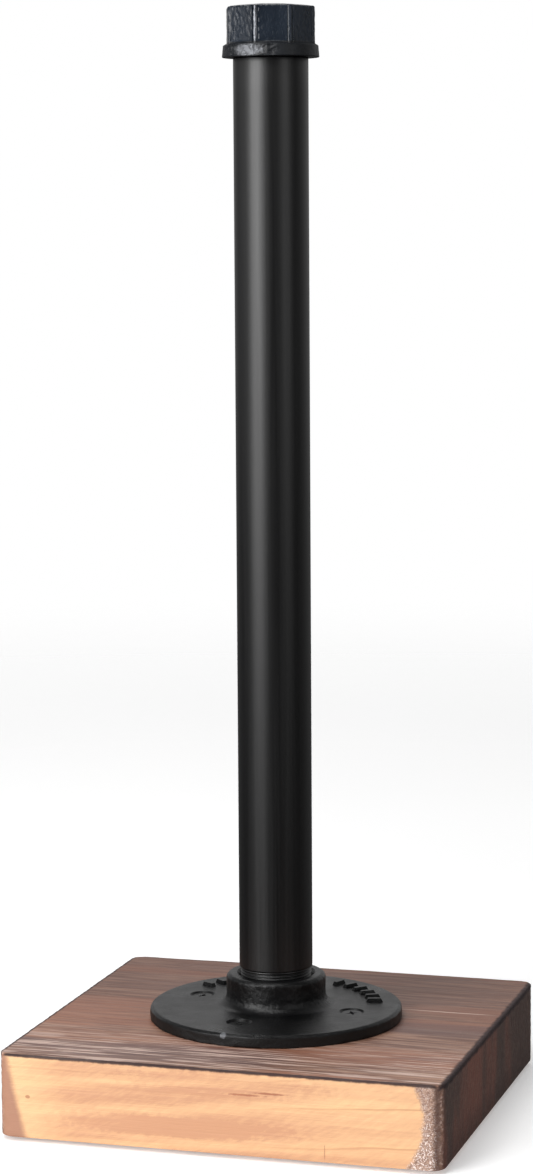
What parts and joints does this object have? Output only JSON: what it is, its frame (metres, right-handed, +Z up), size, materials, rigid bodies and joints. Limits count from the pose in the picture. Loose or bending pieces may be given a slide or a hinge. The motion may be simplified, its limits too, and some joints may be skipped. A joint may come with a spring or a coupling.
{
  "type": "paper towel holder",
  "caption": "Free-standing paper towel holder: a capped black iron pipe post screwed into a round floor flange on a thick torched wood block.",
  "frame": {"origin": "on the table under the middle of the post, level with the foot pads' undersides", "axes": "+Z up along the post, X along the block's length and its grain, Y across the block, with the front at -Y"},
  "size_m": [0.161, 0.15, 0.3967],
  "materials": {
    "torched_wood": "torched softwood, dark on the top and edges, satin",
    "cast_iron": "rough black casting",
    "black_pipe": "satin black",
    "black_screw": "black oxide",
    "pad_rubber": "matt"
  },
  "bodies": {
    "base": {"wood_block": "torched_wood", "floor_flange": "cast_iron", "flange_screw_1": "black_screw", "flange_screw_2": "black_screw", "flange_screw_3": "black_screw", "flange_screw_4": "black_screw", "foot_pad_1": "pad_rubber", "foot_pad_2": "pad_rubber", "foot_pad_3": "pad_rubber", "foot_pad_4": "pad_rubber"},
    "post": {"post_pipe": "black_pipe"},
    "cap": {"end_cap": "cast_iron"}
  },
  "joints": [
    {"name": "post_unscrew", "type": "slide", "parent": "base", "child": "post", "axis": [0, 0, 1], "range_m": [0, 0.03]},
    {"name": "cap_unscrew", "type": "slide", "parent": "post", "child": "cap", "axis": [0, 0, 1], "range_m": [0, 0.03]}
  ]
}
